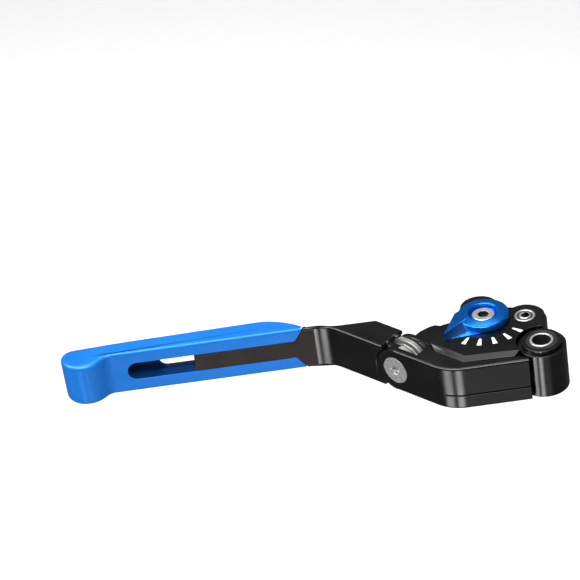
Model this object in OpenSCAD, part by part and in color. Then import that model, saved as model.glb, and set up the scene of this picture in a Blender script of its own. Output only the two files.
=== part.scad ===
// Folding, extendable motorcycle clutch lever with a six-position reach selector.
// Origin: centre of the pivot bore. X runs inboard, the tip points to -X.
// Y runs from the front of the lever to the handlebar grip, Z is up.

/* [Lever] */
// Height of the lever, top face to bottom face
lever_h = 16; // [15:0.5:20]
// Distance from the pivot to the front face of the finger part, along Y
arm_front_y = 27.6; // [24:0.2:32]
// Distance from the pivot to the tip at the shortest setting
tip_reach = 160.7; // [150:0.5:200]
// Angle between the finger part and the cranked part
jog_angle = 44; // [38:1:50]
// Thickness of the cranked part, front to back
jog_depth = 11.3; // [11.2:0.1:13]

/* [Pivot] */
// Diameter of the hole for the pivot bolt of the bike
pivot_bolt_d = 6.1; // [5.1:0.1:6.5]
// Outer diameter of the pivot sleeve
sleeve_d = 8; // [7:0.1:10]
// Wall of the bronze bush round the sleeve
pivot_bush_wall = 1.25; // [1:0.05:1.5]
// Outer diameter of the adapter boss round the pivot
boss_d = 16; // [15.5:0.5:17]
// How far the sleeve stands out of the boss at each end
sleeve_proud = 0.3; // [0.1:0.1:0.6]

/* [Adapter] */
// Thickness of the adapter plate inside the lever body
plate_t = 5.6; // [4.8:0.1:6]
// Gap between the adapter plate and the slot, above and below
plate_gap = 0.2; // [0.1:0.05:0.4]
// Push rod line to the left of the pivot
rod_x = 17.5; // [16:0.5:19]
// Diameter of the push rod barrel
barrel_d = 8; // [7:0.5:8.5]
// Hole through the barrel for the push rod
rod_d = 6.1; // [4.1:0.1:6.3]

/* [Reach selector] */
// Diameter of the round part of the dial
dial_d = 17.2; // [15.6:0.2:20]
// Height of the dial above the raised scale land
dial_h = 2.8; // [2.4:0.1:4]
// Length of the pointer from the dial axis
pointer_l = 17.4; // [14:0.1:17.6]
// Height of the raised scale land above the lever top
land_h = 1.4; // [1:0.1:2]
// Number of positions on the scale
positions = 6; // [3:1:6]
// Angle between two positions
position_step = 20; // [10:1:20]
// Radius of the cam under the dial
cam_r = 4.2; // [3.6:0.1:4.4]
// Eccentricity of the cam
cam_throw = 0.78; // [0.4:0.02:0.9]
// Diameter of the cam follower pin
cam_pin_d = 4; // [3:0.5:4.5]

/* [Fold hinge] */
// Radius of the ears and knuckles round the fold axis
ear_r = 7.8; // [7:0.1:7.9]
// Thickness of the front ear
front_ear_t = 2.8; // [2.6:0.1:3.2]
// Thickness of the rear ear
rear_ear_t = 2.2; // [1.8:0.1:2.6]
// Thickness of each knuckle of the folding arm
knuckle_t = 1.8; // [1.5:0.1:2]
// Thread diameter of the fold screw
fold_screw_d = 5; // [4:0.5:5.5]
// Head diameter of the fold screw
fold_head_d = 10; // [8:0.5:10]
// Wire diameter of the fold spring
fold_wire = 1; // [0.8:0.1:1]

/* [Extension] */
// Depth of the finger part, front to back, at its inner end
arm_depth = 8.2; // [7.8:0.1:9]
// Height of the slot in the front face
slot_h = 6.6; // [5.4:0.1:8]
// Depth of the slot pocket behind the front face
slot_depth = 4.6; // [4.2:0.1:5]
// Travel of the extension
travel = 20; // [10:1:20]
// Length of the sliding bar of the arm
bar_l = 38; // [36:0.5:42]
// Radius of the bulged tip
knob_r = 7.8; // [7:0.1:8.4]

/* [Hidden] */
$fn = 64;

eps = 0.01;
fit = 0.04;                       // radial clearance of a running fit
part_gap = 0.15;                  // gap between parts that pass each other
half_h = lever_h / 2;
pivot_bush_d = sleeve_d + 2 * pivot_bush_wall;
land_z = half_h + land_h;         // top of the raised scale land

// Reach hinge, dial and push rod places
hinge_at = [-3.6, 15.5];
dial_at = [-17.2, 17];
hinge_lug_r = 6.2;
hinge_pin_d = 5;
hinge_bush_d = 7;
hinge_head_d = 7;
hinge_head_h = 1.6;
dial_body_r = dial_d / 2 + 0.4;   // the lever body stands 0.4 mm proud of the dial
rod_lobe_r = barrel_d / 2 + 2.5;
rod_at = [-rod_x, dial_at[1] + dial_body_r + 1.9 + rod_lobe_r];
rod_lobe_low = -6;
barrel_z = [rod_lobe_low + 0.4, plate_t / 2 - 0.2];
rod_z = (barrel_z[0] + barrel_z[1]) / 2;
rod_cut = rod_d + 0.8;            // height and width of the way in for the push rod
rod_end_room = 1.4;               // room for the rod's end in front of the barrel
boss_collar_r = 5.7;
boss_clear = 1.2;                 // room between the boss and the lever body
land_clear = 1.7;                 // room between the collar and the raised land
seal_t = 1;
seal_seat_r = pivot_bush_d / 2;

// Slot in the lever body for the adapter plate
slot_z = plate_t / 2 + plate_gap;
slot_left = -30.5;
slot_front = 3.2;
adapter_left = -26.8;

// Cam
cam_start = 130;                  // direction of the throw at position one
cam_neck_d = 6;
cam_foot_d = 5;
cam_foot_l = 3;
cam_clear = 0.06;
cam_pin_y = dial_at[1] + cam_throw * sin(cam_start) + cam_r + cam_pin_d / 2 + cam_clear;
cam_window_r = cam_r + cam_throw + 1.6;

// Dial details
pointer_first = -52;              // direction of position one, from the front towards +X
recess_r = dial_d / 2 - 3.8;
recess_d = 1.8;
dial_gap = 0.1;
dial_screw_head_d = 7.6;
dial_screw_head_h = 0.9;
dial_screw_d = 4.6;
dial_hex = 4;
washer_t = 0.4;
washer_r = [cam_neck_d / 2 + 0.2, cam_neck_d / 2 + 1.4];
ball_d = 2.5;
ball_orbit = 6.1;
ball_proud = 0.45;
ball_bore_l = 4.6;
tick_ends = [11.6, 15.6];         // radius of its inner and outer end
tick_w = [0.8, 1.7];              // width at its inner and outer end
tick_cut = 0.15;

// Fold hinge: local frame has x along the crank, y from the front face back, z up
fold_at = [-48.7, 7.4];
fork_room = jog_depth - front_ear_t - rear_ear_t;
knuckle_y = [front_ear_t + part_gap, jog_depth - rear_ear_t - part_gap - knuckle_t];
knuckle_r = ear_r - 0.4;
heel_gap = 0.1;
pocket_end = ear_r + 0.3;
shoulder_front = -5;
shoulder_clear = 0.3;
fold_bush_d = fold_screw_d + 1.8;
coil_y = [knuckle_y[0] + knuckle_t + fold_wire / 2 + 0.1, knuckle_y[1] - fold_wire / 2 - 0.1];
coil_r = knuckle_r - fold_wire / 2 - 0.3;
rear_boss = 2.4;                  // the body is this much deeper than the arm behind the hinge

// Lever body outline
body_front_y = -8.4;
body_corner_r = 14;
scallop_r = boss_d / 2 + boss_clear;
land_scallop_r = boss_collar_r + 1 + land_clear;
land_slope_h = 1.15;              // height of the slope along the front of the land
land_slope_angle = 35;            // from the level
groove_low = -3;                  // shadow groove along the front
groove_h = 0.5;
groove_depth = 0.9;
groove_turn = 30;                 // how far it runs round the corner

// Extension and sliding bar
arm_back_y = arm_front_y + arm_depth;
neck_x = -77.6;
v_run = 3.6;
v_root = neck_x - v_run;
bar_gap = 0.15;
bar_depth = slot_depth - bar_gap;
bar_end = neck_x - bar_l;
slot_end = bar_end - 23;
knob_at = [-tip_reach + knob_r, arm_front_y + 2.7];
knob_back_r = 4.2;
knob_fillet_r = 5;
knob_back_y = arm_front_y + 6.7;
flank_x = -93;
clamp_l = 7.5;
clamp_x = bar_end + 1 + clamp_l / 2;
clamp_t = 1.5;
clamp_w = 10;
track_depth = 1.4;                // flat track for the clamp plate, below the back face
track_y = arm_back_y - track_depth;
clamp_slot_w = 5.8;
clamp_screw_d = 4;
clamp_head_d = 7;
bend_r = 11;
arm_back_corner = [-52.8, arm_front_y - 0.5];

// ---------- shared shapes ----------

// A straight cylinder between two heights
module rod(r, z0, z1) {
    translate([0, 0, z0]) cylinder(r = r, h = z1 - z0);
}

// Flat shapes, each given a thickness between two heights
module slab(z0, z1) {
    for (i = [0:$children - 1])
        translate([0, 0, z0]) linear_extrude(z1 - z0) children(i);
}

// Moves to the fold hinge and turns with the crank
module fold_frame() {
    translate([fold_at[0], fold_at[1], 0]) rotate([0, 0, -jog_angle]) children();
}

// A disc across the crank, standing on its axis y
module fold_disc(r, y0, y1) {
    translate([0, y1, 0]) rotate([90, 0, 0]) cylinder(r = r, h = y1 - y0);
}

// A point of the fold frame in the part frame
function crank(x, y) = [
    fold_at[0] + x * cos(jog_angle) + y * sin(jog_angle),
    fold_at[1] - x * sin(jog_angle) + y * cos(jog_angle)];

// X where the front of the crank meets a line of constant Y
function crank_x(y) = fold_at[0] + (fold_at[1] - y) / tan(jog_angle);

// A coil spring along Z: rings of points swept along a helix
module coil(r, wire, turns, length) {
    sides = 8;
    steps = round(turns * 12);
    ring = [for (i = [0:steps]) for (k = [0:sides - 1])
        let (a = 360 * turns * i / steps, b = 360 * k / sides)
        [(r + wire / 2 * cos(b)) * cos(a), (r + wire / 2 * cos(b)) * sin(a),
            length * i / steps + wire / 2 * sin(b)]];
    walls = [for (i = [0:steps - 1]) for (k = [0:sides - 1])
        let (n = (k + 1) % sides)
        [i * sides + k, i * sides + n, (i + 1) * sides + n, (i + 1) * sides + k]];
    start = [[for (k = [sides - 1:-1:0]) k]];
    end = [[for (k = [0:sides - 1]) steps * sides + k]];
    polyhedron(points = ring, faces = concat(walls, start, end), convexity = 6);
}

// ---------- pivot ----------

module pivot_sleeve() {
    color("silver") difference() {
        rod(sleeve_d / 2, -half_h - sleeve_proud, land_z + sleeve_proud);
        rod(pivot_bolt_d / 2, -half_h - 2, land_z + 2);
    }
}

module seal() {
    difference() {
        cylinder(r = seal_seat_r - 0.05, h = seal_t - 0.1);
        translate([0, 0, -1]) cylinder(r = sleeve_d / 2 + 0.1, h = seal_t + 2);
    }
}

module pivot_seals() {
    color("dimgray") {
        translate([0, 0, land_z - seal_t]) seal();
        translate([0, 0, -half_h + 0.1]) seal();
    }
}

module pivot_bush() {
    color("darkgoldenrod") difference() {
        rod(pivot_bush_d / 2, -half_h + seal_t, land_z - seal_t);
        rod(sleeve_d / 2 + fit, -half_h - 2, land_z + 2);
    }
}

// ---------- adapter ----------

module adapter_web() {
    polygon([[-6, 2], [-14, slot_front + 1.8], [adapter_left, 10], [adapter_left, 24],
        [rod_at[0] - rod_lobe_r, rod_at[1]], [rod_at[0] + rod_lobe_r, rod_at[1]],
        [rod_at[0] + rod_lobe_r + 1, 26], hinge_at + [0, hinge_lug_r], hinge_at,
        hinge_at + [hinge_lug_r, 0], [boss_d / 2 - 1, 3], [0, 0]]);
}

module adapter() {
    color("#1c1c1e") difference() {
        union() {
            slab(-plate_t / 2, plate_t / 2) {
                adapter_web();
                translate(hinge_at) circle(r = hinge_lug_r);
            }
            rod(boss_d / 2, -half_h, half_h);
            rod(boss_collar_r + 1, half_h - eps, land_z);
            translate([rod_at[0], rod_at[1], 0]) rod(rod_lobe_r, rod_lobe_low, plate_t / 2);
        }
        rod(pivot_bush_d / 2, -half_h - 1, land_z + 1);
        translate([hinge_at[0], hinge_at[1], 0]) rod(hinge_bush_d / 2, -plate_t, plate_t);
        translate([dial_at[0], dial_at[1], 0]) rod(cam_window_r, -plate_t, plate_t);
        translate([dial_at[0], cam_pin_y, 0]) rod(cam_pin_d / 2, -plate_t, plate_t);
        translate([rod_at[0], rod_at[1], 0]) {
            rod(barrel_d / 2 + fit, rod_lobe_low - 1, plate_t);
            translate([-rod_cut / 2, -barrel_d / 2 - rod_end_room, rod_z - rod_cut / 2])
                cube([rod_cut, barrel_d / 2 + rod_end_room + rod_lobe_r + 1, rod_cut]);
        }
    }
}

module hinge_bush() {
    color("darkgoldenrod") translate([hinge_at[0], hinge_at[1], 0]) difference() {
        rod(hinge_bush_d / 2, -plate_t / 2, plate_t / 2);
        rod(hinge_pin_d / 2 + fit, -plate_t, plate_t);
    }
}

module cam_pin() {
    color("gainsboro") translate([dial_at[0], cam_pin_y, 0])
        rod(cam_pin_d / 2, -plate_t / 2, plate_t / 2);
}

module push_rod_barrel() {
    color("goldenrod") translate([rod_at[0], rod_at[1], 0]) difference() {
        rod(barrel_d / 2, barrel_z[0], barrel_z[1]);
        translate([0, barrel_d, rod_z]) rotate([90, 0, 0])
            cylinder(d = rod_d, h = 2 * barrel_d);
    }
}

// ---------- lever body ----------

// Centre of the rounded corner of the lever body
body_round_at = [crank_x(body_front_y + body_corner_r) + body_corner_r / sin(jog_angle),
    body_front_y + body_corner_r];

// Outline of the lever body, between two heights
module body_block(z0, z1) {
    corner_x = crank_x(body_front_y);
    cut = body_corner_r * tan(jog_angle / 2);
    difference() {
        slab(z0, z1) {
            polygon([crank(0, 0),
                [corner_x - cut * cos(jog_angle), body_front_y + cut * sin(jog_angle)],
                [corner_x + cut, body_front_y], [-5.5, body_front_y], [-3, 0], [2.8, 11],
                hinge_at + [hinge_lug_r + 1, 0], hinge_at + [0, hinge_lug_r + 1],
                dial_at + [dial_body_r * 0.4, dial_body_r * 0.9], dial_at,
                [-26, 19.5], [-30.2, 17.7], [-33.4, 19.4], [-35.2, 19],
                crank(0.5, jog_depth + rear_boss), crank(0.5, jog_depth),
                crank(0, jog_depth)]);
            translate(body_round_at) circle(r = body_corner_r);
            translate(hinge_at) circle(r = hinge_lug_r + 1);
            translate(dial_at) circle(r = dial_body_r);
        }
        rod(scallop_r, z0 - 1, z1 + 1);
    }
}

// Cuts the top edge of the land to a slope, along a line with the land on its left
module land_slope(from, to) {
    run = to - from;
    translate([from[0], from[1], land_z - land_slope_h]) rotate([0, 0, atan2(run[1], run[0])])
        rotate([land_slope_angle, 0, 0]) translate([-5, -5, 0]) cube([norm(run) + 10, 10, 5]);
}

// Raised land that carries the scale
module land_block() {
    front = [[-35, 3.8], [-26.2, -4.9], [-9.6, -5.6]];
    difference() {
        slab(half_h - eps, land_z) {
            polygon(concat([[-35.9, 12], [-35.9, 6.6]], front, [[-3, 0], [2.8, 11],
                hinge_at + [hinge_lug_r, 0], hinge_at, dial_at, [-24, 18]]));
            translate(hinge_at) circle(r = hinge_lug_r + 0.4);
            translate(dial_at) circle(r = dial_body_r - 0.2);
        }
        rod(scallop_r, 0, half_h + part_gap);
        rod(land_scallop_r, 0, land_z + 1);
        land_slope(front[0], front[1]);
        land_slope(front[1], front[2]);
    }
}

// Shadow groove along the front and on round the corner
module front_groove() {
    inner = body_corner_r - groove_depth;
    outer = body_corner_r + 1;
    end = [outer * sin(groove_turn), outer * cos(groove_turn)];
    slab(groove_low, groove_low + groove_h) translate(body_round_at)
        polygon(concat([[60, -outer], [60, -inner]],
            [for (a = [0:2.5:groove_turn]) [-inner * sin(a), -inner * cos(a)]],
            [-end, [-end[0], -outer]]));
}

module adapter_slot() {
    slab(-slot_z, slot_z) {
        polygon([[slot_left, 8.6], [slot_left, 60], [40, 60], [40, -40], [4, -40], [0, 0],
            [-8, -1.4], [-14, slot_front - 1.6]]);
        circle(r = scallop_r);
    }
}

// One tick of the scale, pointing at the dial axis
module tick(k) {
    turn = pointer_first + k * position_step;
    inner = [tick_w[0] / 2, -tick_ends[0]];
    outer = [tick_w[1] / 2, -tick_ends[1]];
    translate([dial_at[0], dial_at[1], land_z - tick_cut]) rotate([0, 0, turn])
        linear_extrude(1) polygon([inner, [-inner[0], inner[1]], [-outer[0], outer[1]], outer]);
}

module lever_body() {
    spring_y = -1.2;
    color("#141416") difference() {
        union() {
            body_block(-half_h, half_h);
            land_block();
            fold_frame() {
                fold_disc(ear_r, eps, front_ear_t + 0.5);
                fold_disc(ear_r, jog_depth - rear_ear_t - 0.5, jog_depth - eps);
            }
        }
        fold_frame() {
            // pocket for the knuckles and the spring
            translate([-ear_r - 1, front_ear_t, -half_h - 1])
                cube([ear_r + 1 + pocket_end, fork_room, lever_h + 4]);
            fold_disc(fold_screw_d / 2 + fit, -1, jog_depth + 3);
            translate([0, -eps, 0]) rotate([-90, 0, 0])
                cylinder(d1 = fold_head_d + 2 * fit, d2 = fold_screw_d + 2 * fit,
                    h = (fold_head_d - fold_screw_d) / 2);
        }
        adapter_slot();
        // reach hinge
        translate([hinge_at[0], hinge_at[1], 0]) {
            rod(hinge_pin_d / 2 + fit, -half_h + 1.5, land_z + 1);
            rod(hinge_head_d / 2 + 0.1, land_z - hinge_head_h, land_z + 1);
        }
        // cam shaft
        translate([dial_at[0], dial_at[1], 0]) {
            rod(cam_neck_d / 2 + fit, 0, land_z + 1);
            rod(cam_foot_d / 2 + fit, -slot_z - cam_foot_l - 0.3, 0);
        }
        // ball detent
        translate([dial_at[0] + ball_orbit, dial_at[1], 0])
            rod(ball_d / 2 + fit, land_z - ball_bore_l, land_z + 1);
        // reach spring
        translate([-24, spring_y, 0]) rotate([0, 90, 0]) cylinder(d = 4.6, h = 18);
        front_groove();
        for (k = [1:positions - 1]) tick(k);
    }
}

module hinge_screw() {
    color("silver") translate([hinge_at[0], hinge_at[1], 0]) difference() {
        union() {
            rod(hinge_pin_d / 2, -half_h + 1.8, land_z - hinge_head_h + eps);
            rod(hinge_head_d / 2, land_z - hinge_head_h, land_z + 0.2);
        }
        translate([0, 0, land_z - 0.9]) cylinder(r = 1.45, h = 2, $fn = 6);
        // ring turned into the head
        translate([0, 0, land_z - 0.1]) difference() {
            cylinder(r = 2.7, h = 1);
            translate([0, 0, -1]) cylinder(r = 2, h = 3);
        }
    }
}

module reach_spring() {
    color("silver") translate([-23.6, -1.2, 0]) rotate([0, 90, 0])
        coil(1.75, 0.7, 6, 15);
}

module detent_ball() {
    color("silver") translate([dial_at[0] + ball_orbit, dial_at[1],
        land_z + ball_proud - ball_d / 2]) sphere(d = ball_d);
}

module detent_spring() {
    room = ball_bore_l + ball_proud - ball_d;
    color("silver") translate([dial_at[0] + ball_orbit, dial_at[1], land_z - ball_bore_l + 0.2])
        coil(0.85, 0.4, 4, room - 0.4);
}

// ---------- reach selector ----------

module pointer() {
    polygon([[0, 0], [dial_d * 0.36, -dial_d * 0.35], [2.5, -pointer_l + 5.4],
        [-0.7, -pointer_l], [-1.4, -pointer_l], [-7.2, -7], [-dial_d / 2 + 0.6, -3.2]]);
}

module reach_dial() {
    low = land_z + dial_gap;
    top = land_z + dial_h;
    color("#0078d8") translate([dial_at[0], dial_at[1], 0]) difference() {
        rotate([0, 0, pointer_first]) slab(low, top) {
            circle(d = dial_d);
            pointer();
        }
        rod(recess_r, top - recess_d, top + 1);
        rod(dial_screw_d / 2 + 0.2, low - 1, top);
        rod(washer_r[1] + 0.1, low - 1, land_z + washer_t + 0.1);
        translate([0, 0, low]) rotate_extrude()
            translate([ball_orbit - ball_d / 2 - 0.1, -1])
                square([ball_d + 0.2, 1 + ball_proud + 0.05]);
    }
}

module dial_washer() {
    color("gold") translate([dial_at[0], dial_at[1], 0]) difference() {
        rod(washer_r[1], land_z + 0.02, land_z + washer_t);
        rod(washer_r[0], land_z - 1, land_z + 1);
    }
}

module dial_screw() {
    seat = land_z + dial_h - recess_d;
    color("silver") translate([dial_at[0], dial_at[1], 0]) difference() {
        union() {
            rod(dial_screw_head_d / 2, seat + 0.02, seat + dial_screw_head_h);
            rod(dial_screw_d / 2, slot_z + 1, seat + 0.1);
        }
        translate([0, 0, seat - 0.8]) cylinder(r = dial_hex / 2, h = 3, $fn = 6);
    }
}

module cam_shaft() {
    color("gray") translate([dial_at[0], dial_at[1], 0]) difference() {
        union() {
            rod(cam_neck_d / 2, 0, land_z + washer_t + 0.08);
            rod(cam_foot_d / 2, -slot_z - cam_foot_l, 0.1);
            translate([cam_throw * cos(cam_start), cam_throw * sin(cam_start), 0])
                rod(cam_r, -plate_t / 2, plate_t / 2);
        }
        rod(dial_screw_d / 2 + fit, slot_z + 0.6, land_z + 1);
    }
}

// ---------- folding arm ----------

module arm_plan() {
    bend_y = arm_front_y - bend_r;
    bend_x = crank_x(bend_y) - bend_r / sin(jog_angle);
    difference() {
        polygon([[neck_x, arm_front_y], [bend_x, arm_front_y],
            [bend_x + bend_r * sin(jog_angle), bend_y + bend_r * cos(jog_angle)],
            crank(shoulder_front, 0), crank(shoulder_front + 2, jog_depth),
            arm_back_corner, [-66, arm_front_y - 0.3], [-72.5, arm_front_y + 0.8],
            [neck_x, arm_front_y + 1.4]]);
        translate([bend_x, bend_y]) circle(r = bend_r);
    }
}

// Side view of the sliding bar and its flared root, extruded towards the grip
module bar_side() {
    flare = slot_h / 2 - bar_gap;
    polygon([[bar_end, -flare], [v_root + bar_gap, -flare], [neck_x + 0.05, -half_h],
        [neck_x + 1, -half_h], [neck_x + 1, half_h], [neck_x + 0.05, half_h],
        [v_root + bar_gap, flare], [bar_end, flare]]);
}

module folding_arm() {
    bar_h = slot_h - 2 * bar_gap;
    color("#101012") difference() {
        union() {
            slab(-half_h, half_h) arm_plan();
            // flared front plate
            translate([0, arm_front_y + 1.4, 0]) rotate([90, 0, 0])
                linear_extrude(1.4) bar_side();
            // sliding bar and the rib that carries it
            translate([bar_end, arm_front_y, -bar_h / 2]) cube([bar_l, bar_depth, bar_h]);
            translate([neck_x - 1, arm_front_y + 0.6, -bar_h / 2])
                cube([16, bar_depth - 0.6, bar_h]);
            fold_frame() for (y = knuckle_y) {
                fold_disc(knuckle_r, y, y + knuckle_t);
                translate([-12, y, -knuckle_r]) cube([12, knuckle_t, 2 * knuckle_r]);
                // heel that rests against the pocket wall
                translate([0, y, -knuckle_r])
                    cube([pocket_end - heel_gap, knuckle_t, knuckle_r]);
            }
        }
        fold_frame() {
            // room for the ears of the body
            fold_disc(ear_r + shoulder_clear, -1, front_ear_t + eps);
            fold_disc(ear_r + shoulder_clear, jog_depth - rear_ear_t - eps, jog_depth + 1);
            translate([shoulder_front, -1, -half_h - 1])
                cube([30, front_ear_t + 1 + eps, lever_h + 2]);
            translate([shoulder_front, jog_depth - rear_ear_t - eps, -half_h - 1])
                cube([30, rear_ear_t + 1, lever_h + 2]);
            // room for the spring between the knuckles
            fold_disc(ear_r + shoulder_clear, knuckle_y[0] + knuckle_t, knuckle_y[1]);
            translate([shoulder_front, knuckle_y[0] + knuckle_t, -half_h - 1])
                cube([30, knuckle_y[1] - knuckle_y[0] - knuckle_t, lever_h + 2]);
            fold_disc(fold_bush_d / 2, -1, jog_depth + 1);
        }
        translate([clamp_x, arm_front_y + bar_depth + 1, 0]) rotate([90, 0, 0])
            cylinder(d = clamp_screw_d + 2 * fit, h = bar_depth - 0.2);
    }
}

module fold_bush() {
    color("darkgoldenrod") fold_frame() difference() {
        fold_disc(fold_bush_d / 2, knuckle_y[0], knuckle_y[1] + knuckle_t);
        fold_disc(fold_screw_d / 2 + fit, 0, jog_depth);
    }
}

module fold_screw() {
    color("silver") fold_frame() difference() {
        union() {
            rotate([-90, 0, 0]) cylinder(d1 = fold_head_d, d2 = fold_screw_d,
                h = (fold_head_d - fold_screw_d) / 2);
            fold_disc(fold_screw_d / 2, 0.5, jog_depth - 0.3);
        }
        translate([0, -1, 0]) rotate([-90, 0, 0]) cylinder(r = 1.7, h = 2.8, $fn = 6);
    }
}

module fold_spring() {
    pitch = coil_y[1] - coil_y[0];
    color("silver") fold_frame() translate([0, coil_y[0], 0]) rotate([-90, 0, 0])
        coil(coil_r, fold_wire, 1.5, pitch);
}

// ---------- extension ----------

// Solid finger part with its bulged tip, before the slots are cut
module extension_blank() {
    fillet_y = arm_front_y - knob_fillet_r;
    fillet_x = knob_at[0] + sqrt(pow(knob_r + knob_fillet_r, 2) - pow(knob_at[1] - fillet_y, 2));
    fillet_at = [fillet_x, fillet_y];
    meet = knob_at + (fillet_at - knob_at) * knob_r / (knob_r + knob_fillet_r);
    back_centre = -tip_reach + knob_back_r;
    difference() {
        union() {
            intersection() {
                translate([knob_at[0], knob_at[1], 0]) rod(knob_r, -half_h, half_h);
                translate([-tip_reach - 1, knob_at[1] - 20, -half_h])
                    cube([40, 20, lever_h]);
            }
            slab(-half_h, half_h) {
                translate([back_centre, knob_back_y - knob_back_r]) circle(r = knob_back_r);
                polygon(concat([[back_centre, knob_at[1] - 1], [back_centre, knob_back_y]],
                    [for (u = [0:0.125:1]) [flank_x + (neck_x - 0.2 - flank_x) * u,
                        arm_back_y - (arm_depth - 2) * pow(u, 1.9)]],
                    [[neck_x - 0.2, arm_front_y], [fillet_x, arm_front_y], meet, knob_at]));
            }
        }
        translate(fillet_at) rod(knob_fillet_r, -half_h - 1, half_h + 1);
    }
}

module extension() {
    rear_slot = clamp_slot_w + 0.3;
    rear_from = clamp_x - clamp_l / 2 - 13.5;
    rear_to = clamp_x + clamp_l / 2 + travel + 0.5;
    color("#0b84e0") difference() {
        extension_blank();
        // front pocket with a round end
        translate([slot_end + slot_h / 2, arm_front_y - 1, -slot_h / 2])
            cube([100, slot_depth + 1, slot_h]);
        translate([slot_end + slot_h / 2, arm_front_y + slot_depth, 0]) rotate([90, 0, 0])
            cylinder(d = slot_h, h = slot_depth + 1);
        // rear slot for the clamp
        translate([rear_from + rear_slot / 2, arm_front_y, -rear_slot / 2])
            cube([rear_to - rear_from - rear_slot / 2, 20, rear_slot]);
        translate([rear_from + rear_slot / 2, arm_back_y + 5, 0]) rotate([90, 0, 0])
            cylinder(d = rear_slot, h = arm_depth + 4);
        // flat track for the clamp plate
        translate([rear_from - 1, track_y, -clamp_w / 2 - part_gap])
            cube([neck_x - rear_from + 10, 10, clamp_w + 2 * part_gap]);
        // notch that takes the flare of the arm
        translate([0, arm_back_y + 5, 0]) rotate([90, 0, 0]) linear_extrude(arm_depth + 10)
            polygon([[v_root, -slot_h / 2], [neck_x, -half_h - 0.2], [neck_x + 5, -half_h - 0.2],
                [neck_x + 5, half_h + 0.2], [neck_x, half_h + 0.2], [v_root, slot_h / 2]]);
    }
}

module clamp_plate() {
    seat = track_y + 0.05;
    color("#1c1c1e") difference() {
        union() {
            translate([clamp_x - clamp_l / 2, seat, -clamp_w / 2])
                cube([clamp_l, clamp_t, clamp_w]);
            translate([clamp_x - clamp_l / 2, arm_front_y + bar_depth + 0.02, -clamp_slot_w / 2])
                cube([clamp_l, seat - arm_front_y - bar_depth, clamp_slot_w]);
        }
        translate([clamp_x, arm_back_y + 5, 0]) rotate([90, 0, 0])
            cylinder(d = clamp_screw_d + 0.2, h = arm_depth + 5);
    }
}

module clamp_screw() {
    seat = track_y + 0.05 + clamp_t;
    color("silver") translate([clamp_x, 0, 0]) difference() {
        union() {
            translate([0, seat + 1.6, 0]) rotate([90, 0, 0])
                cylinder(d = clamp_head_d, h = 1.58);
            translate([0, seat + 1, 0]) rotate([90, 0, 0])
                cylinder(d = clamp_screw_d, h = seat + 1 - arm_front_y - 1.8);
        }
        translate([0, seat + 3, 0]) rotate([90, 0, 0]) cylinder(r = 1.45, h = 2.6, $fn = 6);
    }
}

pivot_sleeve();
pivot_seals();
adapter();
pivot_bush();
hinge_bush();
cam_pin();
push_rod_barrel();
lever_body();
hinge_screw();
reach_spring();
detent_ball();
detent_spring();
reach_dial();
dial_screw();
dial_washer();
cam_shaft();
fold_screw();
fold_spring();
folding_arm();
fold_bush();
clamp_plate();
clamp_screw();
extension();
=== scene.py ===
"""Folding, extendable clutch lever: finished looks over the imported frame, in metres."""
import math

import bmesh
import bpy
from mathutils import Matrix, Vector


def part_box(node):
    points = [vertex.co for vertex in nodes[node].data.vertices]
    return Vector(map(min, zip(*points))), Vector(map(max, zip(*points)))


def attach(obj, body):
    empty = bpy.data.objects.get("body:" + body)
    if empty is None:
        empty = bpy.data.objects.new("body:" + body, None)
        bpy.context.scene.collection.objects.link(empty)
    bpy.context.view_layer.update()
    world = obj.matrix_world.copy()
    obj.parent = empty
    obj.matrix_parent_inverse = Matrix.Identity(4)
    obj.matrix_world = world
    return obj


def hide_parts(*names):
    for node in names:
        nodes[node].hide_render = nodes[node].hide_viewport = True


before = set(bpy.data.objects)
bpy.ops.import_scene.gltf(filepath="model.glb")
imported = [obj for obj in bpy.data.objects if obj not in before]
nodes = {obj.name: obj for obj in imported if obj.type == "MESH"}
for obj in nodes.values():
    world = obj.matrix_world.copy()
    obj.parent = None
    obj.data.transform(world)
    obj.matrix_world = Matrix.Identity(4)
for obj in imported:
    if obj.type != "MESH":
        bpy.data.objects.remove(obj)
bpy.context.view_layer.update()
MM = 0.001

# ---------------------------------------------------------------- key places
# Points that materials use are in metres; plain numbers are millimetres.

FOLD_AT = Vector((-48.7, 7.4, 0)) * MM        # fold axis at the front face of the crank
CRANK_TURN = math.radians(-44)                # the crank, seen from above
DIAL_AT = Vector((-17.2, 17.0, 0)) * MM       # dial axis
HINGE_AT = Vector((-3.6, 15.5, 0)) * MM       # reach hinge axis
HALF_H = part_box("extension")[1].z / MM        # half the lever's height
LAND_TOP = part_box("lever_body")[1].z / MM     # top of the raised scale land
DIAL_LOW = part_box("reach_dial")[0].z / MM     # underside of the dial
DIAL_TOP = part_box("reach_dial")[1].z / MM
FRONT_Y = 27.6                                # front face of the finger part and the slide face
BAR_FROM = -77                                # X where the arm's slide face and bar begin


# ---------------------------------------------------------------- materials

def rgb(hex_code):
    """An sRGB hex colour as the linear values that shaders take."""
    parts = [int(hex_code[i:i + 2], 16) / 255 for i in (1, 3, 5)]
    return tuple(c / 12.92 if c <= 0.04045 else ((c + 0.055) / 1.055) ** 2.4 for c in parts) + (1,)


def add(tree, kind, values=(), **settings):
    """Adds a node: settings are its own properties, values are {input: value or output socket}."""
    made = tree.nodes.new(kind)
    for key, value in settings.items():
        setattr(made, key, value)
    for key, value in dict(values).items():
        if isinstance(value, bpy.types.NodeSocket):
            tree.links.new(value, made.inputs[key])
        else:
            made.inputs[key].default_value = value
    return made


def new_material(name, **sockets):
    """A named material with its Principled shader set, and that shader's tree."""
    made = bpy.data.materials.new(name)
    made.use_nodes = True
    shader = made.node_tree.nodes["Principled BSDF"]
    for key, value in sockets.items():
        shader.inputs[key.replace("_", " ")].default_value = value
    return made, made.node_tree, shader


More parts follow.
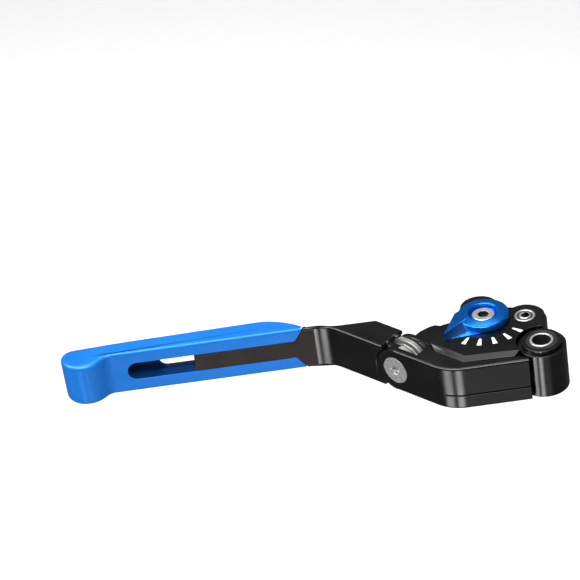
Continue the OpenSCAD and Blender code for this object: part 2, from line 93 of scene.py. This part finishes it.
def per_mm(size):
    """Noise scale that gives features of this many millimetres on Object coordinates."""
    return 1 / (size * MM)


def anodised(name, dark, light, bloom, metallic, roughness, **sockets):
    """Dyed anodised aluminium: milled and bead-blasted first, so the dye sits on a fine frosted grain
    with faint cutter lines, cloudy where the dye took unevenly, and a little smoother where handled."""
    made, tree, shader = new_material(name, Metallic=metallic, **sockets)
    place = add(tree, "ShaderNodeTexCoord").outputs["Object"]
    cloud = add(tree, "ShaderNodeTexNoise", {"Vector": place, "Scale": per_mm(14), "Detail": 3.0,
                                             "Roughness": 0.55}).outputs["Fac"]
    grain = add(tree, "ShaderNodeTexNoise", {"Vector": place, "Scale": per_mm(0.45), "Detail": 4.0,
                                             "Roughness": 0.7}).outputs["Fac"]
    stretched = add(tree, "ShaderNodeMapping", {"Vector": place, "Scale": (0.04, 0.04, 1.0)})
    cutter = add(tree, "ShaderNodeTexNoise", {"Vector": stretched.outputs[0], "Scale": per_mm(0.5),
                                              "Detail": 2.0}).outputs["Fac"]
    depth = add(tree, "ShaderNodeMapRange", {"Value": cloud, "From Min": 0.3, "From Max": 0.7})
    dye = add(tree, "ShaderNodeMix", {0: depth.outputs[0], 6: rgb(dark), 7: rgb(light)},
              data_type="RGBA").outputs[2]
    specks = add(tree, "ShaderNodeMapRange", {"Value": grain, "From Min": 0.55, "From Max": 0.8,
                                              "To Max": 0.35})
    colour = add(tree, "ShaderNodeMix", {0: specks.outputs[0], 6: dye, 7: rgb(bloom)},
                 data_type="RGBA").outputs[2]
    tree.links.new(colour, shader.inputs["Base Color"])
    smooth = add(tree, "ShaderNodeMapRange", {"Value": cloud, "From Min": 0.25, "From Max": 0.75,
                                              "To Min": roughness - 0.05, "To Max": roughness + 0.05})
    uneven = add(tree, "ShaderNodeMath", {0: cutter, 1: 0.06, 2: smooth.outputs[0]},
                 operation="MULTIPLY_ADD")
    tree.links.new(uneven.outputs[0], shader.inputs["Roughness"])
    height = add(tree, "ShaderNodeMath", {0: cutter, 1: 0.5, 2: grain}, operation="MULTIPLY_ADD")
    bump = add(tree, "ShaderNodeBump", {"Strength": 0.12, "Distance": 0.02 * MM,
                                        "Height": height.outputs[0]})
    tree.links.new(bump.outputs[0], shader.inputs["Normal"])
    return made


def turned(name, dark, light, roughness, at=(0, 0, 0), tilt=(0, 0, 0), pitch=0.3, **sockets):
    """Turned metal: rings left by the lathe round the piece's own axis, so highlights fan out."""
    made, tree, shader = new_material(name, Metallic=0.75, **sockets)
    place = add(tree, "ShaderNodeTexCoord").outputs["Object"]
    turned_to = add(tree, "ShaderNodeMapping", {"Vector": place, "Location": at, "Rotation": tilt},
                    vector_type="TEXTURE").outputs[0]
    rings = add(tree, "ShaderNodeTexWave", {"Vector": turned_to, "Scale": per_mm(pitch * 6.28) * 3.0,
                                            "Distortion": 0.6, "Detail": 2.0, "Detail Scale": 1.5},
                wave_type="RINGS", rings_direction="Z").outputs["Fac"]
    grain = add(tree, "ShaderNodeTexNoise", {"Vector": place, "Scale": per_mm(0.6), "Detail": 4.0}
                ).outputs["Fac"]
    mixed = add(tree, "ShaderNodeMath", {0: rings, 1: 0.5, 2: grain}, operation="MULTIPLY_ADD")
    tone = add(tree, "ShaderNodeMapRange", {"Value": mixed.outputs[0], "From Min": 0.35,
                                            "From Max": 1.15})
    colour = add(tree, "ShaderNodeMix", {0: tone.outputs[0], 6: rgb(dark), 7: rgb(light)},
                 data_type="RGBA").outputs[2]
    tree.links.new(colour, shader.inputs["Base Color"])
    rough = add(tree, "ShaderNodeMapRange", {"Value": mixed.outputs[0], "To Min": roughness - 0.06,
                                             "To Max": roughness + 0.06})
    tree.links.new(rough.outputs[0], shader.inputs["Roughness"])
    bump = add(tree, "ShaderNodeBump", {"Strength": 0.15, "Distance": 0.02 * MM,
                                        "Height": mixed.outputs[0]})
    tree.links.new(bump.outputs[0], shader.inputs["Normal"])
    return made


def moulded(name, dark, light, roughness, grain_mm, **sockets):
    """Moulded rubber, plastic or paint: a matt skin with a fine pebble and faint cloudiness."""
    made, tree, shader = new_material(name, **sockets)
    place = add(tree, "ShaderNodeTexCoord").outputs["Object"]
    pebble = add(tree, "ShaderNodeTexNoise", {"Vector": place, "Scale": per_mm(grain_mm),
                                              "Detail": 5.0}).outputs["Fac"]
    cloud = add(tree, "ShaderNodeTexNoise", {"Vector": place, "Scale": per_mm(4)}).outputs["Fac"]
    colour = add(tree, "ShaderNodeMix", {0: cloud, 6: rgb(dark), 7: rgb(light)},
                 data_type="RGBA").outputs[2]
    tree.links.new(colour, shader.inputs["Base Color"])
    rough = add(tree, "ShaderNodeMapRange", {"Value": pebble, "To Min": roughness - 0.08,
                                             "To Max": roughness + 0.08})
    tree.links.new(rough.outputs[0], shader.inputs["Roughness"])
    bump = add(tree, "ShaderNodeBump", {"Strength": 0.25, "Distance": 0.03 * MM, "Height": pebble})
    tree.links.new(bump.outputs[0], shader.inputs["Normal"])
    return made


# Satin black anodise: deep, slightly glossy black that only lights up on edges and bends.
BLACK = anodised("black_anodised_aluminium", "#060607", "#0B0B0C", "#18181A", 0.0, 0.2,
                 Specular_IOR_Level=0.55)
# Slide face: painted reflection, a warmer, greyer black that stands for the brown-grey the flat front
# face reflects; matt, so it stays even in the light.
SLIDE_PAINTED_REFLECTION = anodised("slide_face_painted_reflection", "#2B2725", "#352F2C", "#4A4440", 0.0, 0.5,
                 Specular_IOR_Level=0.15)
# Painted highlight on the hinge knuckles: pale grey aluminium with milling lines, standing for the
# light their rounded faces catch.
KNUCKLE_PAINTED_HIGHLIGHT = turned("knuckle_painted_highlight_aluminium", "#8F8D89", "#BDBBB6", 0.36, pitch=0.9)
# Blue anodise on bright metal: the metal's gleam shows through the dye, so it glows where lit.
BLUE = anodised("blue_anodised_aluminium", "#0072D2", "#067CDE", "#2A90EC", 0.35, 0.37,
                Specular_IOR_Level=0.6)
# The same dye over a polished cap: deeper, with sharper contrast.
BLUE_BRIGHT = anodised("polished_blue_anodise", "#0066C4", "#0472D4", "#2A8CE8", 0.75, 0.2,
                       Specular_IOR_Level=0.5)
# Painted shade: a dark, rough blue for the walls and floor of the long slot and the hollow of the
# dial's beak.
BLUE_PAINTED_SHADE = anodised("blue_painted_shade_anodise", "#012A58", "#02366E", "#044A8C", 0.1, 0.5,
                     Specular_IOR_Level=0.2)
STEEL = {}
for piece_name, spot, tilt in (
        ("pivot_sleeve", (0, 0, 0), (0, 0, 0)), ("hinge_screw", HINGE_AT, (0, 0, 0)),
        ("dial_screw", DIAL_AT, (0, 0, 0)),
        ("fold_screw", FOLD_AT, (math.pi / 2, 0, CRANK_TURN))):
    # Stainless steel, turned: cool grey with rings round its own axis.
    STEEL[piece_name] = turned("stainless_steel_" + piece_name, "#B4B4B6", "#E2E2E4", 0.26, spot, tilt)
# Stainless steel for pins, springs and balls: drawn or ground, with no clear rings.
PLAIN_STEEL = turned("ground_stainless_steel", "#8E8F92", "#C6C7C9", 0.28, pitch=0.8)
# Painted shade inside sockets and bores: dark steel.
SOCKET_PAINTED_SHADE = turned("socket_painted_shade_steel", "#2C2C2E", "#4A4A4C", 0.45, pitch=0.8)
# Bearing bronze: warm yellow-brown, turned smooth.
BRONZE = turned("bearing_bronze", "#8A6428", "#C79A4C", 0.34)
# Nitrile rubber: soft black that hardly shines.
RUBBER = moulded("nitrile_rubber", "#0C0C0D", "#161617", 0.75, 0.5)
# Natural nylon: milky, slightly waxy.
NYLON = moulded("natural_nylon", "#BDB59A", "#D0C8AE", 0.45, 0.7)
# Filling paint in the scale marks: flat off-white with a rough surface.
PAINT = moulded("white_filling_paint", "#E2E2E0", "#F0F0EE", 0.6, 0.4)


# ---------------------------------------------------------------- mesh tools

def merged_copy(node_name, flat=0.6):
    """A copy of a CAD node's mesh, its triangles merged and its flat faces made whole."""
    bm = bmesh.new()
    bm.from_mesh(nodes[node_name].data)
    bmesh.ops.remove_doubles(bm, verts=bm.verts, dist=0.002 * MM)
    bmesh.ops.dissolve_limit(bm, angle_limit=math.radians(flat), verts=bm.verts, edges=bm.edges)
    return bm


def on_face(middle):
    """Whether the middle of an edge lies in the lever's top or bottom face."""
    return abs(abs(middle.z) - HALF_H) < 0.05


def set_edge_widths(bm, widest, width_of, sharp=24):
    """Gives every sharp edge a chamfer width, width_of(middle, edge, convex), as a bevel weight."""
    layer = bm.edges.layers.float.get("bevel_weight_edge") or bm.edges.layers.float.new(
        "bevel_weight_edge")
    for edge in bm.edges:
        turn = edge.calc_face_angle_signed(0) if edge.is_manifold else 0
        width = 0
        if abs(turn) > math.radians(sharp):
            middle = (edge.verts[0].co + edge.verts[1].co) / 2 / MM
            width = width_of(middle, edge, turn > 0)
        edge[layer] = width / widest


def finish_piece(name, bm, body, stands_for, materials, slot_name, widest=0, segments=2, sharp=31,
                 width_of=None, paint=None):
    """Turns a bmesh into a finished piece on its body: chamfered, shaded and given materials.
    Widths are in millimetres; paint(centre, normal) picks each face's material."""
    if width_of:
        set_edge_widths(bm, widest, width_of)
    mesh = bpy.data.meshes.new(name)
    bm.to_mesh(mesh)
    bm.free()
    piece = bpy.data.objects.new(name, mesh)
    bpy.context.scene.collection.objects.link(piece)
    if width_of:
        chamfer = piece.modifiers.new("chamfer", "BEVEL")
        chamfer.width = widest * MM
        chamfer.segments = segments
        chamfer.profile = 0.5
        chamfer.limit_method = "WEIGHT"
        chamfer.use_clamp_overlap = False
        bpy.context.view_layer.update()
        shaped = bpy.data.meshes.new_from_object(
            piece.evaluated_get(bpy.context.evaluated_depsgraph_get()))
        piece.modifiers.clear()
        piece.data = shaped
        shaped.name = name
        # A chamfer can't stand out of the solid that it finishes
        lowest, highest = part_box(stands_for[0])
        for vert in shaped.vertices:
            vert.co = [min(max(c, lo), hi) for c, lo, hi in zip(vert.co, lowest, highest)]
    mesh = piece.data
    for material in materials:
        mesh.materials.append(material)
    mesh.polygons.foreach_set("use_smooth", [True] * len(mesh.polygons))
    mesh.set_sharp_from_angle(angle=math.radians(sharp))
    if paint:
        for face in mesh.polygons:
            face.material_index = paint(face.center / MM, face.normal)
    shading = piece.modifiers.new("even_shading", "WEIGHTED_NORMAL")
    shading.keep_sharp = True
    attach(piece, body)
    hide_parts(*stands_for)
    return piece


# ---------------------------------------------------------------- extension

BROAD, NARROW = 1.7, 0.75                     # chamfers of the tip and of the finger part
TIP_BACK_X, BULGE_X, STRAIGHT_X = -156, -147, -138   # end of the tip's back, and its front fillet
NOTCH_X, NOTCH_TIP_X = -81.4, -78.2           # root and tips of the V at the inner end
SLOT_X, SLOT_BACK_Y, SLOT_HALF_H = (-139, -81), 34.3, 3.4    # box round the long slot


def extension_widths(middle, edge, convex):
    """Broad chamfer round the tip, running out to a narrower one along the finger part."""
    if not convex:
        return 0
    if not on_face(middle):
        return 0 if middle.x > NOTCH_X else 0.15
    if middle.y < FRONT_Y + 0.1:
        run = min(max((middle.x - BULGE_X) / (STRAIGHT_X - BULGE_X), 0), 1)
        return BROAD + (NARROW - BROAD) * run
    return BROAD if middle.x < TIP_BACK_X else 0.5


def extension_finish(centre, normal):
    """Painted shade (dark blue) on the walls and floor of the slots, bright blue elsewhere."""
    # Painted shade: dark blue inside the slot
    return int(abs(centre.z) < SLOT_HALF_H and FRONT_Y + 0.15 < centre.y < SLOT_BACK_Y
               and SLOT_X[0] < centre.x < SLOT_X[1])


bm = merged_copy("extension")
# The tips of the notch are a hair blunt; bring them to a point, so that the chamfers can run out
blunt = [v for v in bm.verts if v.co.x > NOTCH_TIP_X * MM and abs(v.co.z) > (HALF_H - 0.12) * MM]
for vert in blunt:
    vert.co.z = math.copysign(HALF_H * MM, vert.co.z)
bmesh.ops.remove_doubles(bm, verts=blunt, dist=0.02 * MM)
finish_piece("extension_blue", bm, "extension", ["extension"],
             [BLUE, BLUE_PAINTED_SHADE], "blue_anodised", widest=BROAD, segments=5,
             width_of=extension_widths, paint=extension_finish)


# ---------------------------------------------------------------- folding arm

EDGE_ROUND = 0.8                              # rounding along the black parts' outer edges
KNUCKLES_Y = (2.8, 9.2)                       # the knuckles, back from the front of the crank


def arm_widths(middle, edge, convex):
    """Clean rounding along the top and bottom of the arm, light breaks round the knuckles."""
    if not convex:
        return 0
    if middle.x < BAR_FROM:
        return 0.15 if middle.y < FRONT_Y + 0.2 else 0.1
    return EDGE_ROUND if on_face(middle) else 0.25


def arm_finish(centre, normal):
    """Painted reflection (warm grey) on the front plate's slide face, painted highlight (pale grey) on
    the knuckles, black elsewhere.
    """
    from_axis = (centre - FOLD_AT / MM).xy
    along = from_axis.x * math.cos(CRANK_TURN) + from_axis.y * math.sin(CRANK_TURN)
    back = from_axis.y * math.cos(CRANK_TURN) - from_axis.x * math.sin(CRANK_TURN)
    if centre.y < FRONT_Y + 0.15 and centre.x < BAR_FROM + 0.5:
        # Painted reflection: warm grey on the slide face
        return 1
    # Painted highlight: pale grey on the knuckles
    return 2 if along > -2 and KNUCKLES_Y[0] < back < KNUCKLES_Y[1] else 0


finish_piece("folding_arm_black", merged_copy("folding_arm"), "arm", ["folding_arm"],
             [BLACK, SLIDE_PAINTED_REFLECTION, KNUCKLE_PAINTED_HIGHLIGHT], "black_anodised", widest=EDGE_ROUND, segments=4,
             width_of=arm_widths, paint=arm_finish)


# ---------------------------------------------------------------- lever body

CUT_END = (-7, -3)                            # X and Y of the front's cut end, beside the boss
MARK_FLOOR = LAND_TOP - 0.15                  # floor of the scale marks
MARK_ENDS = (11.4, 15.8)                      # how far from the dial's axis the marks lie


def body_widths(middle, edge, convex):
    """Well rounded outer edges along the front, light breaks on the land and the pockets, and
    crisp edges on the scale marks and the cut end."""
    cut_end = middle.x > CUT_END[0] and middle.y < CUT_END[1]
    if not convex or cut_end or MARK_FLOOR - 0.1 < middle.z < LAND_TOP - 0.02:
        return 0
    if on_face(middle):
        return EDGE_ROUND if middle.y < 7.5 and middle.x > -48.5 else 0.5
    from_dial = (middle.xy - DIAL_AT.xy / MM).length
    on_mark = middle.z > LAND_TOP - 0.1 and MARK_ENDS[0] < from_dial < MARK_ENDS[1]
    return 0 if on_mark and middle.y < 15 else 0.15


def body_finish(centre, normal):
    """White paint on the floors of the scale marks, black elsewhere."""
    return int(abs(centre.z - MARK_FLOOR) < 0.05 and normal.z > 0.9)


finish_piece("lever_body_black", merged_copy("lever_body"), "lever", ["lever_body"], [BLACK, PAINT],
             "black_anodised", widest=EDGE_ROUND, segments=5, width_of=body_widths,
             paint=body_finish)


# ---------------------------------------------------------------- reach dial

def spun(bm, profile, centre, steps=96):
    """Spins a closed profile of (radius, height) in millimetres all round an upright axis."""
    corners = [bm.verts.new((centre.x + r * MM, centre.y, z * MM)) for r, z in profile]
    ring = [bm.edges.new((a, b)) for a, b in zip(corners, corners[1:] + corners[:1])]
    bmesh.ops.spin(bm, geom=corners + ring, cent=(centre.x, centre.y, 0), axis=(0, 0, 1),
                   angle=math.tau, steps=steps, use_merge=True)


RIM = (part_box("reach_dial")[1].x - DIAL_AT.x) / MM      # radius of the round cap
WELL, WELL_DEEP = 4.8, 1.8                              # radius and depth of the screw's recess
BORE = 2.5                                              # radius of the hole for the screw
WASHER_R, WASHER_DEEP = 4.5, 0.4                        # seat of the thrust washer
TRACK, TRACK_DEEP = (4.75, 7.45), 0.5                   # radii and depth of the ball's track
low, top = DIAL_LOW, DIAL_TOP
bm = bmesh.new()
# Cap: wall, edge, sloping rim, recess for the screw, underside with the ball's track
spun(bm, [(RIM - 0.2, low), (RIM, low + 0.2), (RIM, top - 0.85), (RIM - 0.1, top - 0.7),
          (RIM - 0.35, top - 0.5), (RIM - 0.6, top - 0.4), (WELL + 0.7, top - 0.02),
          (WELL + 0.5, top), (WELL + 0.35, top - 0.03), (WELL + 0.1, top - 0.3),
          (WELL, top - 0.55), (WELL, top - WELL_DEEP), (BORE, top - WELL_DEEP),
          (BORE, low + WASHER_DEEP), (WASHER_R, low + WASHER_DEEP), (WASHER_R, low),
          (TRACK[0], low), (TRACK[0], low + TRACK_DEEP), (TRACK[1], low + TRACK_DEEP),
          (TRACK[1], low)], DIAL_AT)
# Beak: a fin with a sharp ridge, hollowed out on the side of the scale. Its foot ends under the
# wall of the cap, clear of the ball's track
SHOULDER, TIP, JOIN, BACK_ROOT, RIDGE_ROOT = ((-26.7, 18.9), (-31.3, 7.3), (-17.4, 8.6),
                                              (-21.4, 22.6), (-22.9, 15.2))
under_wall = [DIAL_AT.xy / MM + Matrix.Rotation(math.radians(a), 2) @ Vector((TRACK[1] + 0.35, 0))
              for a in (245, 220, 185)]
foot = [bm.verts.new(Vector((x, y, low)) * MM) for x, y in (
    SHOULDER, TIP, JOIN, *under_wall, Vector(SHOULDER).lerp(Vector(BACK_ROOT), 0.5))]
crest = [bm.verts.new(Vector((x, y, z)) * MM) for (x, y), z in (
    (SHOULDER, top - 0.6), (TIP, top - 0.3), (RIDGE_ROOT, top), (BACK_ROOT, top - 0.45))]
bm.faces.new(foot)
bm.faces.new(crest[::-1])
bm.faces.new((foot[0], crest[0], crest[1], foot[1]))
bm.faces.new((foot[-1], crest[3], crest[0], foot[0]))
bm.faces.new((foot[-1], crest[2], crest[3]))
for near, far in zip(foot[2:], foot[3:]):
    bm.faces.new((near, crest[2], far))
hollow = bm.faces.new((foot[1], crest[1], crest[2], foot[2]))
tip_top, tip_foot, ridge = crest[1].co.copy(), foot[1].co.copy(), crest[2].co - crest[1].co
cut = bmesh.ops.subdivide_edges(bm, edges=hollow.edges[:], cuts=9, use_grid_fill=True)
HOLLOW_DEEP = 0.55
for vert in [v for v in cut["geom_inner"] if isinstance(v, bmesh.types.BMVert)]:
    drop = (tip_top.z - vert.co.z) / (tip_top.z - tip_foot.z)
    along = (vert.co - tip_top).xy.dot(ridge.xy) / ridge.xy.length_squared
    if 0.01 < drop < 0.99:
        vert.co.z -= math.sin(drop * math.pi) * HOLLOW_DEEP * MM * min(max(along * 3, 0), 1)
bmesh.ops.recalc_face_normals(bm, faces=bm.faces)


def dial_widths(middle, edge, convex):
    """A light break on the sharp edges of the beak; the cap's edges are in its profile."""
    on_beak = (middle.xy - DIAL_AT.xy / MM).length > RIM + 0.3 and middle.z > low + 0.1
    return 0.2 if convex and on_beak and edge.calc_face_angle(0) > 0.5 else 0


def dial_finish(centre, normal):
    """Painted shade (dark blue) in the hollow of the beak, bright on the cap."""
    outside = (centre.xy - DIAL_AT.xy / MM).length > RIM
    # Painted shade: dark blue in the beak's hollow
    return int(outside and normal.z < 0.93 and normal.x > 0.1)


finish_piece("reach_dial_blue", bm, "selector", ["reach_dial"], [BLUE_BRIGHT, BLUE_PAINTED_SHADE],
             "blue_anodised", widest=0.2, segments=2, width_of=dial_widths, sharp=38,
             paint=dial_finish)


# ---------------------------------------------------------------- other carried nodes

LIGHT_BREAK, HEAD_ROUND = 0.2, 0.35


def small_widths(middle, edge, convex):
    """A light break on every outer edge."""
    return LIGHT_BREAK if convex else 0


def head_widths(middle, edge, convex):
    """A rounded edge on a screw's head or a sleeve's mouth, which are made of short steps, and a
    light one elsewhere."""
    return (HEAD_ROUND if edge.calc_length() < 1.4 * MM else LIGHT_BREAK) if convex else 0


def in_socket(node_name, centre_line, radius, below=0.25):
    """A paint rule: painted shade, dark steel, goes inside a socket or bore around an upright centre
    line.
    """
    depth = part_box(node_name)[1].z / MM - below

    def paint(centre, normal):
        out = (centre - centre_line / MM).xy
        inward = normal.z > 0.9 or normal.xy.dot(out) < 0
        # Painted shade: dark steel inside the socket or bore
        return int(out.length < radius and centre.z < depth and inward)
    return paint


for node_name, body, materials, slot_name, widths, paint in (
        ("adapter", "adapter", [BLACK], "black_anodised", small_widths, None),
        ("pivot_sleeve", "pivot", [STEEL["pivot_sleeve"], SOCKET_PAINTED_SHADE], "steel", head_widths,
         in_socket("pivot_sleeve", Vector((0, 0, 0)), 3.2)),
        ("hinge_screw", "lever", [STEEL["hinge_screw"], SOCKET_PAINTED_SHADE], "steel", head_widths,
         in_socket("hinge_screw", HINGE_AT, 1.9)),
        ("dial_screw", "selector", [STEEL["dial_screw"], SOCKET_PAINTED_SHADE], "steel", head_widths,
         in_socket("dial_screw", DIAL_AT, 2.2)),
        ("fold_screw", "lever", [STEEL["fold_screw"]], "steel", head_widths, None),
        ("clamp_plate", "arm", [BLACK], "black_anodised", small_widths, None),
        ("clamp_screw", "arm", [PLAIN_STEEL], "steel", head_widths, None)):
    finish_piece(node_name + "_finished", merged_copy(node_name), body, [node_name], materials,
                 slot_name, widest=HEAD_ROUND, segments=3, width_of=widths, paint=paint)

# The hidden parts keep the solids' own meshes and take only a material
for node_name, material in (
        ("pivot_seals", RUBBER), ("pivot_bush", BRONZE), ("hinge_bush", BRONZE),
        ("cam_pin", PLAIN_STEEL), ("push_rod_barrel", BRONZE), ("reach_spring", PLAIN_STEEL),
        ("detent_ball", PLAIN_STEEL), ("detent_spring", PLAIN_STEEL), ("dial_washer", NYLON),
        ("cam_shaft", PLAIN_STEEL), ("fold_spring", PLAIN_STEEL), ("fold_bush", BRONZE)):
    slots = nodes[node_name].data.materials
    slots.clear()
    slots.append(material)


# ---------------------------------------------------------------- floor, light and camera

# Pale matt backdrop paper: nearly white with a faint fibre.
PAPER = moulded("pale_backdrop_paper", "#F2F2F2", "#F7F7F7", 0.85, 3.0)
FLOOR_Z = -0.15

bm = bmesh.new()
bmesh.ops.create_grid(bm, x_segments=8, y_segments=8, size=4)
bmesh.ops.translate(bm, vec=(0, 0, FLOOR_Z), verts=bm.verts)
floor_mesh = bpy.data.meshes.new("floor")
bm.to_mesh(floor_mesh)
bm.free()
floor = bpy.data.objects.new("floor", floor_mesh)
floor_mesh.materials.append(PAPER)
bpy.context.scene.collection.objects.link(floor)
floor.visible_glossy = False

world = bpy.data.worlds.new("studio_air")
bpy.context.scene.world = world
world.use_nodes = True
world.node_tree.nodes["Background"].inputs["Color"].default_value = (1, 1, 1, 1)
world.node_tree.nodes["Background"].inputs["Strength"].default_value = 0.12

CENTRE = Vector((-70, 20, 0)) * MM


def panel(name, side, height, distance, width, tall, glow):
    """A soft light panel. side is degrees from the front round towards the tip, height is degrees
    above the horizon, and glow is how bright its face is."""
    a, e = math.radians(side), math.radians(height)
    out = Vector((-math.sin(a) * math.cos(e), -math.cos(a) * math.cos(e), math.sin(e)))
    data = bpy.data.lights.new(name, "AREA")
    data.shape = "RECTANGLE"
    data.size, data.size_y = width, tall
    data.energy = glow * math.pi * width * tall
    lamp = bpy.data.objects.new(name, data)
    lamp.location = CENTRE + out * distance
    lamp.rotation_euler = (-out).to_track_quat("-Z", "Y").to_euler()
    lamp.visible_camera = False
    bpy.context.scene.collection.objects.link(lamp)


for place in (
        # name, side, height, distance, width, tall, glow
        ("ceiling", 0, 89, 1.3, 1.3, 1.3, 1.6),            # even light on the top faces
        ("overhead_front", 2, 57, 0.9, 0.5, 0.25, 13),     # shine on the front chamfers
        ("overhead_left", 49, 51, 0.9, 0.5, 0.25, 13),     # shine on the crank's chamfers
        ("left_side", 90, 37, 0.9, 0.5, 0.25, 11),         # shine towards the tip
        ("back_high", 180, 60, 0.9, 0.5, 0.16, 7),         # gleam along the back edges
        ("front_strip", 6.2, -34.5, 0.45, 0.1, 0.16, 10),  # low bands on the upright round faces
        ("left_strip", 36.5, -34.5, 0.45, 0.135, 0.16, 7),
        ("right_fill", -18, -34.5, 0.45, 0.18, 0.16, 0.6)):
    panel(*place)

# Camera in front of the lever and well above it, through a long lens: right, up and back
# directions of the lens.
RIGHT = Vector((0.990195, -0.045779, -0.131980))
UP = Vector((0.135684, 0.539922, 0.830707))
BACK = Vector((0.033230, -0.840469, 0.540839))
lens = bpy.data.cameras.new("camera")
lens.lens = 160.19
lens.sensor_width = 36
lens.clip_start, lens.clip_end = 0.05, 20
camera = bpy.data.objects.new("camera", lens)
turn = Matrix((RIGHT, UP, BACK)).transposed().to_4x4()
camera.matrix_world = Matrix.Translation(Vector((-51.190, -696.763, 490.247)) * MM) @ turn
bpy.context.scene.collection.objects.link(camera)
bpy.context.scene.camera = camera
bpy.context.scene.view_settings.view_transform = "Standard"
